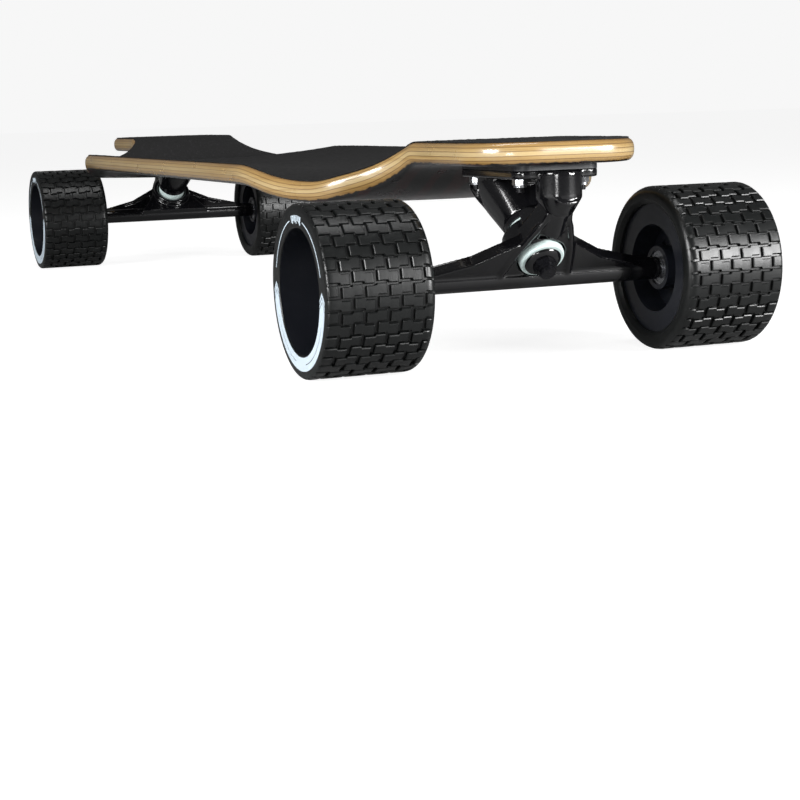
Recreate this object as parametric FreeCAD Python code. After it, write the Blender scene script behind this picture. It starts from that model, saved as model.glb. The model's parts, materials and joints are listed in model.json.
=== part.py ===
import FreeCAD, Part
import math
import os

# Drop-deck longboard on two 45 degree trucks with tall block-tread wheels.
# +X is the nose, +Y the left side, +Z up. The origin is on the floor, midway between the axles.

# Deck
deck_half_length = 516.0
platform_top = 137.0        # top of the wood over the trucks
low_top = 113.2             # lowest line of each drop, at the deck's edge
mid_top = 124.7             # edge of the middle stretch
platform_end = 404.0        # the platforms are flat from here to the tips
low_line = 337.0
mid_end = 262.0
deck_thickness = 14.0
mid_concave = 9.5           # centre below the edge in the middle stretch
low_concave = 2.5
grip_thickness = 1.0
grip_inset = 3.0
corner_radius = 38.0
platform_half_width = 57.0
mid_half_width = 135.0
# one side of the plan outline from the nose corner to the middle, as (x, half width)
outline_side = [
    (440.0, 56.5), (402.0, 56.5), (385.0, 59.0), (370.0, 71.0), (356.0, 91.0),
    (336.0, 106.0), (310.0, 121.0), (285.0, 129.0), (240.0, 133.0), (120.0, 134.5),
]

# Truck, in its own frame: x runs outboard from the axle, z up from the floor
truck_x = 456.0
axle_z = 52.5
ring_x = 14.0               # where the kingpin crosses the steering axis
ring_z = 68.5
steer_angle = 45.0
riser_thickness = 3.5
flange_thickness = 5.0
flange_half_length = 44.0
flange_half_width = 28.0
bolt_spacing_x = 63.5
bolt_spacing_y = 41.3
bolt_radius = 2.4
bolt_hole_radius = 2.6
bolt_head_radius = 4.8
bolt_head_height = 3.0
bolt_head_sunk = 0.2        # below the top of the grip tape
bolt_end_z = 106.5
lock_nut_height = 5.0
lock_nut_across_flats = 8.0

# Along the kingpin, measured from the steering axis; positive is up and inboard
web_low = 4.0
web_high = 9.0
road_bushing_end = -7.0
washer_thickness = 2.0
kingpin_nut_height = 6.5
kingpin_nut_across_flats = 13.0
kingpin_end = -18.0
board_bushing_end = 22.0
seat_height = board_bushing_end + washer_thickness
kingpin_head_low = 38.0
kingpin_head_height = 6.0
kingpin_radius = 4.75
kingpin_head_radius = 8.0
kingpin_hole_radius = 8.0   # in the hanger, wide enough to let it turn
recess_radius = 15.5
frame_front = -4.0
collar_high = 15.2
collar_radius = 19.5
spine_high = 19.0

# Along the steering axis, measured outboard and up from the kingpin
boss_mouth = 40.0
boss_end = 52.8
boss_x = 42.0
boss_radius = 14.0
boss_rim_z = 103.0
boss_reach = 56.5           # stays under the end of the deck
cup_end = 50.4
cup_outer_radius = 5.9
cup_inner_radius = 4.1
nose_radius = 4.05
nose_end = 49.0
neck_end = 39.2

# Hanger
tube_radius = 7.25
tube_half_length = 91.0
wing_tip = 80.0

# Wheels, axle and bearings
wheel_radius = 52.5
wheel_width = 68.0
wheel_inner_face = 84.0     # distance from the middle of the board
core_radius = 41.0
barrel_radius = 38.0
inner_recess_radius = 28.0
hub_radius = 14.0
web_bottom = 20.0
web_top = 28.0
window_count = 8
axle_radius = 4.0
axle_past_inner_face = 42.0
bearing_radius = 11.0
bearing_width = 7.0
bearing_gap = 10.0
first_bearing = 8.0         # from the wheel's inner face
ball_radius = 1.95
ball_pitch_radius = 7.5
ball_count = 7
groove_radius = 2.02
inner_race_radius = 6.2
outer_race_inner_radius = 8.8
shield_inner_radius = 6.5
shield_thickness = 0.4
shield_inset = 0.3
speed_washer_radius = 6.3
speed_washer_thickness = 1.0
axle_nut_height = 7.0
axle_nut_across_flats = 13.0

up = FreeCAD.Vector(0, 0, 1)
origin = FreeCAD.Vector(0, 0, 0)


def vec(x, y, z):
    return FreeCAD.Vector(x, y, z)


def rod(radius, low, high, axis=up):
    """Cylinder on an axis through the origin, from low to high along it."""
    return Part.makeCylinder(radius, high - low, axis * low, axis)


def cone(low_radius, high_radius, low, high, axis=up):
    return Part.makeCone(low_radius, high_radius, high - low, axis * low, axis)


def block(low, high):
    size = [b - a for a, b in zip(low, high)]
    return Part.makeBox(size[0], size[1], size[2], vec(*low))


def ring(outer, inner, low, high):
    return rod(outer, low, high).cut(rod(inner, low - 1, high + 1))


def polygon_wire(points):
    return Part.makePolygon([vec(*p) for p in points + points[:1]])


def prism(points, low, high):
    """Solid from (x, y) points, from low to high along z."""
    face = Part.Face(polygon_wire([(x, y, low) for x, y in points]))
    return face.extrude(up * (high - low))


def revolved(points):
    """Solid of revolution about z from (radius, z) points."""
    face = Part.Face(polygon_wire([(r, 0, z) for r, z in points]))
    return face.revolve(origin, up, 360)


def hexagon(across_flats, low, high):
    radius = across_flats / math.sqrt(3)
    points = []
    for i in range(6):
        angle = math.radians(60 * i)
        points.append((radius * math.cos(angle), radius * math.sin(angle)))
    return prism(points, low, high)


def lock_nut(across_flats, bore, low, high):
    """Hex nut with a round collar for the insert on its high side."""
    collar = 0.3 * (high - low)
    body = hexagon(across_flats, low, high - collar)
    body = body.fuse(rod(across_flats * 0.47, high - collar, high))
    return body.cut(rod(bore, low - 1, high + 1)).removeSplitter()


# Deck

def blend(t):
    """Smooth step from 0 to 1."""
    t = min(max(t, 0.0), 1.0)
    return (1.0 - math.cos(math.pi * t)) / 2.0


def edge_height(x):
    a = abs(x)
    if a >= low_line:
        return low_top + (platform_top - low_top) * blend((a - low_line) / (platform_end - low_line))
    return mid_top + (low_top - mid_top) * blend((a - mid_end) / (low_line - mid_end))


def concave_depth(x):
    a = abs(x)
    if a >= low_line:
        return low_concave * (1.0 - blend((a - low_line) / (platform_end - low_line)))
    return mid_concave + (low_concave - mid_concave) * blend((a - mid_end) / (low_line - mid_end))


def concave_half_width(x):
    return mid_half_width - 45.0 * blend((abs(x) - mid_end) / (platform_end - mid_end))


def top_height(x, y):
    across = y / concave_half_width(x)
    return edge_height(x) - concave_depth(x) * (1.0 - across * across)


def bottom_height(x, y):
    step = 0.5
    slope = (top_height(x + step, y) - top_height(x - step, y)) / (2 * step)
    return top_height(x, y) - deck_thickness * math.sqrt(1.0 + slope * slope)


def height_face(height):
    """Curved face between the platforms that follows height(x, y)."""
    columns = 9
    rows = 102
    half = 145.0
    grid = []
    for i in range(rows):
        x = -platform_end + 2 * platform_end * i / (rows - 1)
        line = []
        for j in range(columns):
            y = -half + 2 * half * j / (columns - 1)
            z = height(x, y)
            if i in (0, rows - 1):
                z = height(math.copysign(platform_end + 1, x), y)
            line.append(vec(x, y, z))
        grid.append(line)
    surface = Part.BSplineSurface()
    surface.interpolate(grid)
    return surface.toShape()


def side_of(height, level, reach):
    """Everything within reach above the deck's top, or below its bottom, platforms included."""
    solid = height_face(height).extrude(up * reach)
    low = min(level, level + reach)
    high = max(level, level + reach)
    for sign in (-1, 1):
        x_low = min(sign * platform_end, sign * 600)
        x_high = max(sign * platform_end, sign * 600)
        solid = solid.fuse(block((x_low, -145, low), (x_high, 145, high)))
    return solid


def outline_wire(z, inset=0.0):
    """Plan outline of the deck at a height, or one that lies inside it."""
    tip = deck_half_length - inset
    straight = platform_half_width - inset
    corner_x = deck_half_length - corner_radius
    corner_y = platform_half_width - corner_radius
    half_side = [(corner_x, platform_half_width)] + outline_side
    side = [vec(x, y - inset, z) for x, y in half_side]
    side.append(vec(0, mid_half_width - inset, z))
    side += [vec(-x, y - inset, z) for x, y in reversed(half_side)]
    bend = (corner_radius - inset) * math.sin(math.radians(45))
    edges = []
    for turn in (0, 180):
        spline = Part.BSplineCurve()
        spline.interpolate(Points=side, InitialTangent=vec(-1, 0, 0), FinalTangent=vec(-1, 0, 0))
        far_corner = Part.Arc(
            vec(-corner_x, straight, z),
            vec(-corner_x - bend, corner_y + bend, z),
            vec(-tip, corner_y, z),
        )
        end = Part.LineSegment(vec(-tip, corner_y, z), vec(-tip, -corner_y, z))
        near_corner = Part.Arc(
            vec(-tip, -corner_y, z),
            vec(-corner_x - bend, -corner_y - bend, z),
            vec(-corner_x, -straight, z),
        )
        for curve in (spline, far_corner, end, near_corner):
            edge = curve.toShape()
            edge.rotate(origin, up, turn)
            edges.append(edge)
    return Part.Wire(edges)


def bolt_places():
    places = []
    for sign in (-1, 1):
        for x in (-1, 1):
            for y in (-1, 1):
                places.append((sign * truck_x + x * bolt_spacing_x / 2, y * bolt_spacing_y / 2))
    return places


plan_low = 60.0             # the blank that the deck is cut from
plan_height = 100.0
head_top = platform_top + grip_thickness - bolt_head_sunk


def bolt_cutter(x, y):
    cutter = rod(bolt_hole_radius, 60, 160)
    cutter = cutter.fuse(cone(bolt_hole_radius, bolt_head_radius + 0.2, head_top - bolt_head_height, head_top))
    cutter = cutter.fuse(rod(bolt_head_radius + 0.2, head_top, 160))
    cutter.translate(vec(x, y, 0))
    return cutter


def make_deck():
    plan = Part.Face(outline_wire(plan_low)).extrude(up * plan_height)
    deck = plan.cut(side_of(top_height, platform_top, plan_height))
    deck = deck.cut(side_of(bottom_height, platform_top - deck_thickness, -plan_height))
    for x, y in bolt_places():
        deck = deck.cut(bolt_cutter(x, y))
    return deck


def make_grip():
    plan = Part.Face(outline_wire(plan_low, grip_inset)).extrude(up * plan_height)
    grip = side_of(top_height, platform_top, grip_thickness).common(plan)
    for x, y in bolt_places():
        grip = grip.cut(bolt_cutter(x, y))
    return grip


# Truck pieces. Those on the kingpin are built with the steering axis along x and the
# kingpin along z, then turned and moved into the truck's frame.

def steer(shape):
    turned = shape.copy()
    turned.rotate(origin, vec(0, 1, 0), -steer_angle)
    turned.translate(vec(ring_x, 0, ring_z))
    return turned


flange_high = platform_top - deck_thickness - riser_thickness
flange_low = flange_high - flange_thickness


def plate(low, high):
    half_x = flange_half_length
    half_y = flange_half_width
    body = block((-half_x, -half_y, low), (half_x, half_y, high))
    uprights = [e for e in body.Edges if abs(e.tangentAt(e.FirstParameter).z) > 0.9]
    return body.makeFillet(8.0, uprights)


def truck_bolt_places():
    return [(x * bolt_spacing_x / 2, y * bolt_spacing_y / 2) for x in (-1, 1) for y in (-1, 1)]


def make_riser():
    pad = plate(flange_high, flange_high + riser_thickness)
    for x, y in truck_bolt_places():
        hole = rod(bolt_hole_radius, 60, 160)
        hole.translate(vec(x, y, 0))
        pad = pad.cut(hole)
    return pad


def make_baseplate():
    leg = steer(cone(15.0, 25.0, seat_height, 66.0))
    leg = leg.common(block((-42, -26, 60), (44, 26, flange_low + 1)))
    sleeve = steer(cone(7.8, 9.0, boss_mouth, boss_end, vec(1, 0, 0)))
    bowl = rod(boss_radius, boss_rim_z, flange_high - 1).fuse(cone(7.5, boss_radius, 92.0, boss_rim_z))
    bowl.translate(vec(boss_x, 0, 0))
    bowl = bowl.common(steer(block((boss_mouth, -20, -40), (90, 20, 40))))
    boss = bowl.fuse(sleeve).common(block((0, -28, 60), (boss_reach, 28, flange_high - 1)))
    rib = block((-10, -5, flange_low - 4), (40, 5, flange_low + 1))
    body = plate(flange_low, flange_high).fuse([leg, boss, rib])
    body = body.cut(steer(rod(kingpin_radius, seat_height - 5, kingpin_head_low + 5)))
    body = body.cut(steer(rod(kingpin_head_radius + 0.5, kingpin_head_low, 110)))
    body = body.cut(steer(rod(cup_outer_radius, boss_mouth - 5, cup_end, vec(1, 0, 0))))
    weep = Part.makeCylinder(2.5, 80, vec(-34, -40, 107.5), vec(0, 1, 0))
    body = body.cut(weep)
    for x, y in truck_bolt_places():
        hole = rod(bolt_hole_radius, 60, 160)
        room = rod(6.0, 90, flange_low)
        hole = hole.fuse(room)
        hole.translate(vec(x, y, 0))
        body = body.cut(hole)
    return body.removeSplitter()


def make_bolts():
    bolts = []
    for x, y in truck_bolt_places():
        bolt = rod(bolt_radius, bolt_end_z, head_top - bolt_head_height)
        bolt = bolt.fuse(cone(bolt_radius, bolt_head_radius, head_top - bolt_head_height, head_top))
        bolt = bolt.cut(hexagon(3.0, head_top - 2.0, head_top + 1))
        bolt.translate(vec(x, y, 0))
        bolts.append(bolt.removeSplitter())
    return Part.makeCompound(bolts)


def make_lock_nuts():
    nuts = []
    for x, y in truck_bolt_places():
        nut = lock_nut(lock_nut_across_flats, bolt_radius, 0, lock_nut_height)
        nut.rotate(origin, vec(1, 0, 0), 180)
        nut.translate(vec(x, y, flange_low))
        nuts.append(nut)
    return Part.makeCompound(nuts)


def make_pivot_cup():
    cup = rod(cup_outer_radius, boss_mouth, cup_end, vec(1, 0, 0))
    cup = cup.cut(rod(cup_inner_radius, boss_mouth - 1, nose_end + 0.4, vec(1, 0, 0)))
    return steer(cup)


def make_kingpin():
    shaft = rod(kingpin_radius, kingpin_end, kingpin_head_low)
    head = hexagon(2 * kingpin_head_radius * math.cos(math.radians(30)), kingpin_head_low,
                   kingpin_head_low + kingpin_head_height)
    return steer(shaft.fuse(head).removeSplitter())


def make_kingpin_nut():
    low = road_bushing_end - washer_thickness
    nut = lock_nut(kingpin_nut_across_flats, kingpin_radius, 0, kingpin_nut_height)
    nut.rotate(origin, vec(1, 0, 0), 180)
    nut.translate(vec(0, 0, low))
    return steer(nut)


def make_road_bushing():
    body = cone(10.8, 13.3, road_bushing_end, web_low)
    return steer(body.cut(rod(kingpin_radius, road_bushing_end - 1, web_low + 1)))


def make_board_bushing():
    middle = (web_high + board_bushing_end) / 2
    points = [
        (kingpin_radius, web_high), (13.0, web_high), (14.0, middle), (13.0, board_bushing_end),
        (kingpin_radius, board_bushing_end),
    ]
    return steer(revolved(points))


def cupped_washer(radius, face, side):
    """Washer whose lip wraps the bushing: face is the bushing's end, side the way its back points."""
    back = face + side * washer_thickness
    disc = rod(radius, min(face, back), max(face, back))
    lip_end = face - side * 1.5
    lip = ring(radius, radius - 1.2, min(face, lip_end), max(face, lip_end))
    body = disc.fuse(lip).cut(rod(kingpin_radius, -40, 60))
    return body.removeSplitter()


def make_road_washer():
    return steer(cupped_washer(12.5, road_bushing_end, -1))


def make_board_washer():
    return steer(cupped_washer(14.6, board_bushing_end, 1))


# Hanger. Its frame is a triangle from the pivot nose down to the axle tube.

axle_s = ((0 - ring_x) + (axle_z - ring_z)) * math.sqrt(0.5)
axle_t = (-(0 - ring_x) + (axle_z - ring_z)) * math.sqrt(0.5)


def both_sides(points):
    return points + [(s, -y) for s, y in reversed(points)]


def make_hanger():
    frame_outline = both_sides([(neck_end, 8.5), (20.0, 13.0), (0.0, 20.0), (-14.0, 29.0), (-25.0, 37.0)])
    frame = prism(frame_outline, frame_front, web_high)
    wing_outline = both_sides([(15.0, 0.0), (15.0, 14.0), (-4.0, 44.0), (-15.5, wing_tip), (axle_s, wing_tip)])
    wings = prism(wing_outline, axle_t - 3.0, axle_t + 5.5)
    tube = Part.makeCylinder(tube_radius, 2 * tube_half_length, vec(axle_s, -tube_half_length, axle_t), vec(0, 1, 0))
    collar = rod(collar_radius, 0, collar_high)
    spine = prism(both_sides([(37.0, 6.0), (16.0, 13.0)]), web_high - 1, spine_high)
    spine = spine.common(cone(40.0, 22.0, 0, spine_high + 2.0))
    neck = cone(9.0, 6.6, 22.0, neck_end, vec(1, 0, 0))
    nose = rod(nose_radius, neck_end - 1, nose_end - 3.0, vec(1, 0, 0))
    tip = cone(nose_radius, 2.2, nose_end - 3.0, nose_end, vec(1, 0, 0))
    body = frame.fuse([wings, tube, collar, spine, neck, nose, tip])
    body = body.cut(rod(recess_radius, -40, web_low))
    body = body.cut(rod(recess_radius, web_high, 40))
    body = body.cut(rod(kingpin_hole_radius, -40, 40))
    pocket = both_sides([(33.0, 4.0), (16.5, 7.5)])
    body = body.cut(prism(pocket, frame_front - 1, frame_front + 3.0))
    for side in (-1, 1):
        outline = [(4.0, side * 23.0), (-7.0, side * 43.0), (-12.5, side * 60.0), (-12.5, side * 29.0),
                   (-2.0, side * 21.5)]
        body = body.cut(prism(outline, axle_t + 3.0, axle_t + 12))
    bore = Part.makeCylinder(axle_radius, 240, vec(axle_s, -120, axle_t), vec(0, 1, 0))
    return steer(body.cut(bore).removeSplitter())


def make_axle():
    half = wheel_inner_face + axle_past_inner_face
    shaft = rod(axle_radius, -half, half, vec(0, 1, 0))
    ends = [e for e in shaft.Edges if isinstance(e.Curve, Part.Circle)]
    shaft = shaft.makeChamfer(0.6, ends)
    shaft.translate(vec(0, 0, axle_z))
    return shaft


# Wheel pieces, along z from the inner face, with z pointing away from the board

second_bearing = first_bearing + bearing_width + bearing_gap
outer_stack = second_bearing + bearing_width


def make_tyre():
    outer = wheel_width
    points = [
        (core_radius, 2.0), (46.0, 0.0), (48.0, 0.6), (51.0, 3.5), (wheel_radius, 7.5),
        (wheel_radius, outer - 4.0), (51.6, outer - 1.5), (49.5, outer - 0.3), (48.0, outer),
        (core_radius, outer),
    ]
    return revolved(points)


def make_core():
    points = [
        (9.0, first_bearing + bearing_width), (bearing_radius, first_bearing + bearing_width),
        (bearing_radius, first_bearing - 1), (hub_radius, first_bearing - 1), (hub_radius, web_bottom),
        (inner_recess_radius, web_bottom), (inner_recess_radius, 4.0), (core_radius, 4.0),
        (core_radius, wheel_width - 1), (barrel_radius, wheel_width - 1), (barrel_radius, 38.0),
        (35.5, 31.5), (30.0, web_top), (hub_radius, web_top), (hub_radius, outer_stack + 1),
        (bearing_radius, outer_stack + 1), (bearing_radius, second_bearing), (9.0, second_bearing),
    ]
    core = revolved(points)
    for i in range(window_count):
        window = block((16.2, -2.0, web_bottom - 5), (21.0, 2.0, web_top + 5))
        window.rotate(origin, up, 360.0 * i / window_count)
        core = core.cut(window)
    return core


def bearing_parts():
    """Outer race with its shields, inner race and balls of one bearing, from z = 0."""
    groove = Part.makeTorus(ball_pitch_radius, groove_radius, vec(0, 0, bearing_width / 2))
    outer = ring(bearing_radius, outer_race_inner_radius, 0, bearing_width).cut(groove)
    for low in (shield_inset, bearing_width - shield_inset - shield_thickness):
        shield = ring(outer_race_inner_radius + 0.5, shield_inner_radius, low, low + shield_thickness)
        outer = outer.fuse(shield)
    inner = ring(inner_race_radius, axle_radius, 0, bearing_width).cut(groove)
    balls = []
    for i in range(ball_count):
        angle = 2 * math.pi * i / ball_count
        place = vec(ball_pitch_radius * math.cos(angle), ball_pitch_radius * math.sin(angle), bearing_width / 2)
        balls.append(Part.makeSphere(ball_radius, place))
    return outer.removeSplitter(), inner, balls


def make_bearings():
    outers = []
    inners = []
    balls = []
    for low in (first_bearing, second_bearing):
        outer, inner, loose = bearing_parts()
        for shape in [outer, inner] + loose:
            shape.translate(vec(0, 0, low))
        outers.append(outer)
        inners.append(inner)
        balls += loose
    return Part.makeCompound(outers), Part.makeCompound(inners), Part.makeCompound(balls)


def make_speed_washers():
    washers = []
    for low in (first_bearing - speed_washer_thickness, outer_stack):
        washers.append(ring(speed_washer_radius, axle_radius, low, low + speed_washer_thickness))
    return Part.makeCompound(washers)


def make_axle_nut():
    low = outer_stack + speed_washer_thickness
    return lock_nut(axle_nut_across_flats, axle_radius, low, low + axle_nut_height)


def wheel_pieces():
    outers, inners, balls = make_bearings()
    spacer_low = first_bearing + bearing_width
    return {
        "tyre": make_tyre(),
        "core": make_core(),
        "bearing_outer_races": outers,
        "bearing_inner_races": inners,
        "bearing_balls": balls,
        "bearing_spacer": ring(5.6, axle_radius, spacer_low, spacer_low + bearing_gap),
        "speed_washers": make_speed_washers(),
        "axle_nut": make_axle_nut(),
    }


def truck_pieces():
    return {
        "riser_pad": make_riser(),
        "baseplate": make_baseplate(),
        "truck_bolts": make_bolts(),
        "lock_nuts": make_lock_nuts(),
        "pivot_cup": make_pivot_cup(),
        "kingpin": make_kingpin(),
        "kingpin_nut": make_kingpin_nut(),
        "boardside_bushing": make_board_bushing(),
        "roadside_bushing": make_road_bushing(),
        "boardside_washer": make_board_washer(),
        "roadside_washer": make_road_washer(),
        "hanger": make_hanger(),
        "axle": make_axle(),
    }


def save(name, shape):
    shape.exportStep(os.path.join("parts", name + ".step"))
    print(name, len(shape.Solids), round(shape.Volume), shape.isValid())


def main():
    os.makedirs("parts", exist_ok=True)
    save("deck", make_deck())
    save("grip_tape", make_grip())
    truck = truck_pieces()
    wheel = wheel_pieces()
    for end, turn in (("front", 0), ("rear", 180)):
        for name, piece in truck.items():
            placed = piece.copy()
            placed.translate(vec(truck_x, 0, 0))
            placed.rotate(origin, up, turn)
            save(end + "_" + name, placed)
        for side, sign in (("left", 1), ("right", -1)):
            for name, piece in wheel.items():
                placed = piece.copy()
                placed.rotate(origin, vec(1, 0, 0), -90 * sign)
                x = truck_x if end == "front" else -truck_x
                placed.translate(vec(x, sign * wheel_inner_face, axle_z))
                save(end + "_" + side + "_" + name, placed)


main()
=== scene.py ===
import json
import math
import bmesh
import bpy
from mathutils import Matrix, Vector, noise


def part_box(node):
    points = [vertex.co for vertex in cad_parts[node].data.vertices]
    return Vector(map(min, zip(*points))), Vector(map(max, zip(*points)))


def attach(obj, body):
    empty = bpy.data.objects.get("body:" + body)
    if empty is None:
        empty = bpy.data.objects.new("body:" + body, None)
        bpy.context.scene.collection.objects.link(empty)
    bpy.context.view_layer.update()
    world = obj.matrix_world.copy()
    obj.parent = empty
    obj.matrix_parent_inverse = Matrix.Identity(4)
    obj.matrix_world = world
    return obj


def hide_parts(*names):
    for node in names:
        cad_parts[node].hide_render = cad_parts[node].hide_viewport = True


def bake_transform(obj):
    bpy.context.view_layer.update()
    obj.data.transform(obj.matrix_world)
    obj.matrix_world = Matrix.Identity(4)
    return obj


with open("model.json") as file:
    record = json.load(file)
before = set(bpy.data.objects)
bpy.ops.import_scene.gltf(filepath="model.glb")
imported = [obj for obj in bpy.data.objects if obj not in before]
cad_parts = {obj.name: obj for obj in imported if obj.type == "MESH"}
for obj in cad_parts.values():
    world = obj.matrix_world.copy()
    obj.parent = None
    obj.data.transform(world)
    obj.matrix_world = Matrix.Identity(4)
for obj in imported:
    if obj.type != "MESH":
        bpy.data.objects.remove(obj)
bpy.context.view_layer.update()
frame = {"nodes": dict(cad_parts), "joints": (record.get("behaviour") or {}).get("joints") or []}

mm = 0.001
nodes = frame["nodes"]
ends = {"front": 1, "rear": -1}
sides = {"left": 1, "right": -1}
print("frame loaded:", len(nodes), "CAD pieces")


# small helpers

def newObject(name, verts, faces, body, material, sharpAngle=40, turnOutwards=False):
    mesh = bpy.data.meshes.new(name)
    mesh.from_pydata(verts, [], faces)
    mesh.validate()
    if turnOutwards:
        work = bmesh.new()
        work.from_mesh(mesh)
        bmesh.ops.recalc_face_normals(work, faces=work.faces)
        work.to_mesh(mesh)
        work.free()
    mesh.polygons.foreach_set("use_smooth", [True] * len(mesh.polygons))
    mesh.set_sharp_from_angle(angle=math.radians(sharpAngle))
    mesh.materials.append(material)
    mesh.update()
    piece = bpy.data.objects.new(name, mesh)
    bpy.context.scene.collection.objects.link(piece)
    if body:
        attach(piece, body)
    return piece


def ringFaces(rings, around):
    # quads between closed rings of vertices that follow each other
    faces = []
    for k in range(rings - 1):
        for i in range(around):
            j = (i + 1) % around
            a = k * around
            b = (k + 1) * around
            faces.append((a + i, b + i, b + j, a + j))
    return faces


def smoothStep(t):
    t = min(max(t, 0.0), 1.0)
    return (1 - math.cos(math.pi * t)) / 2


def centreOf(node):
    low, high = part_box(node)
    return (low + high) / 2


def applyModifiers(piece):
    work = bpy.context.evaluated_depsgraph_get()
    work.update()
    finished = bpy.data.meshes.new_from_object(piece.evaluated_get(work))
    piece.modifiers.clear()
    piece.data = finished


def addWeld(piece):
    # joins the points that fall together where the rings close
    weld = piece.modifiers.new("weld", "WELD")
    weld.merge_threshold = 0.00002


# shader node groups

def makeGroup(name, inputs, outputs):
    group = bpy.data.node_groups.new(name, "ShaderNodeTree")
    for label, kind, value in inputs:
        socket = group.interface.new_socket(name=label, in_out="INPUT", socket_type=kind)
        if value is not None:
            socket.default_value = value
    for label, kind in outputs:
        group.interface.new_socket(name=label, in_out="OUTPUT", socket_type=kind)
    return group, group.nodes.new("NodeGroupInput"), group.nodes.new("NodeGroupOutput")


def addNode(tree, kind, settings=None, inputs=None):
    node = tree.nodes.new(kind)
    for key, value in (settings or {}).items():
        setattr(node, key, value)
    for key, value in (inputs or {}).items():
        if isinstance(value, bpy.types.NodeSocket):
            tree.links.new(value, node.inputs[key])
        else:
            node.inputs[key].default_value = value
    return node


def maths(tree, operation, *values):
    node = tree.nodes.new("ShaderNodeMath")
    node.operation = operation
    for i, value in enumerate(values):
        if isinstance(value, bpy.types.NodeSocket):
            tree.links.new(value, node.inputs[i])
        else:
            node.inputs[i].default_value = value
    return node.outputs[0]


def ramp(tree, fac, stops):
    node = tree.nodes.new("ShaderNodeValToRGB")
    elements = node.color_ramp.elements
    while len(elements) < len(stops):
        elements.new(0.5)
    for element, (place, colour) in zip(elements, stops):
        element.position = place
        element.color = colour if len(colour) == 4 else (*colour, 1)
    tree.links.new(fac, node.inputs[0])
    return node.outputs[0]


def mixColour(tree, fac, a, b, mode="MIX"):
    node = tree.nodes.new("ShaderNodeMix")
    node.data_type = "RGBA"
    node.blend_type = mode
    for socket, value in ((node.inputs[0], fac), (node.inputs[6], a), (node.inputs[7], b)):
        if isinstance(value, bpy.types.NodeSocket):
            tree.links.new(value, socket)
        else:
            socket.default_value = value if not isinstance(value, tuple) or len(value) == 4 else (*value, 1)
    return node.outputs[2]


def buildSurfaceWear():
    # uneven sheen, fine dust and a soft skin texture that most of the finishes share
    group, gin, gout = makeGroup(
        "surfaceWear",
        [("Scale", "NodeSocketFloat", 60.0), ("Roughness", "NodeSocketFloat", 0.4),
         ("Unevenness", "NodeSocketFloat", 0.1), ("Dust", "NodeSocketFloat", 0.1)],
        [("Roughness", "NodeSocketFloat"), ("Dust", "NodeSocketFloat"), ("Height", "NodeSocketFloat")],
    )
    coords = addNode(group, "ShaderNodeTexCoord").outputs["Object"]
    broad = addNode(group, "ShaderNodeTexNoise", None,
                    {"Vector": coords, "Scale": gin.outputs["Scale"], "Detail": 4.0, "Roughness": 0.6})
    fineScale = maths(group, "MULTIPLY", gin.outputs["Scale"], 22.0)
    fine = addNode(group, "ShaderNodeTexNoise", None, {"Vector": coords, "Scale": fineScale, "Detail": 2.0})
    centred = maths(group, "SUBTRACT", broad.outputs[0], 0.5)
    shift = maths(group, "MULTIPLY", centred, gin.outputs["Unevenness"])
    rough = maths(group, "ADD", gin.outputs["Roughness"], maths(group, "MULTIPLY", shift, 2.0))
    group.links.new(maths(group, "MAXIMUM", rough, 0.04), gout.inputs["Roughness"])
    speck = ramp(group, fine.outputs[0], [(0.55, (0, 0, 0)), (0.75, (1, 1, 1))])
    patch = ramp(group, broad.outputs[0], [(0.45, (0, 0, 0)), (0.7, (1, 1, 1))])
    dust = maths(group, "MULTIPLY", maths(group, "MULTIPLY", speck, patch), gin.outputs["Dust"])
    group.links.new(dust, gout.inputs["Dust"])
    height = maths(group, "ADD", fine.outputs[0], maths(group, "MULTIPLY", broad.outputs[0], 0.5))
    group.links.new(height, gout.inputs["Height"])
    return group


def buildScratches():
    # thin hairline marks in one direction, cut off into short pieces
    group, gin, gout = makeGroup(
        "hairScratches",
        [("Scale", "NodeSocketFloat", 30.0), ("Amount", "NodeSocketFloat", 0.3),
         ("Stretch", "NodeSocketVector", (1.0, 12.0, 1.0))],
        [("Mask", "NodeSocketFloat")],
    )
    coords = addNode(group, "ShaderNodeTexCoord").outputs["Object"]
    stretched = addNode(group, "ShaderNodeVectorMath", {"operation": "MULTIPLY"},
                        {0: coords, 1: gin.outputs["Stretch"]}).outputs[0]
    lines = addNode(group, "ShaderNodeTexNoise", None,
                    {"Vector": stretched, "Scale": gin.outputs["Scale"], "Detail": 6.0, "Roughness": 0.7})
    thin = ramp(group, lines.outputs[0], [(0.6, (0, 0, 0)), (0.66, (1, 1, 1))])
    gate = addNode(group, "ShaderNodeTexNoise", None, {"Vector": coords, "Scale": 14.0, "Detail": 1.0})
    shown = ramp(group, gate.outputs[0], [(0.45, (0, 0, 0)), (0.65, (1, 1, 1))])
    mask = maths(group, "MULTIPLY", maths(group, "MULTIPLY", thin, shown), gin.outputs["Amount"])
    group.links.new(mask, gout.inputs["Mask"])
    return group


surfaceWear = buildSurfaceWear()
hairScratches = buildScratches()


def placeGroup(tree, group, values):
    node = tree.nodes.new("ShaderNodeGroup")
    node.node_tree = group
    for key, value in values.items():
        node.inputs[key].default_value = value
    return node


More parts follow.
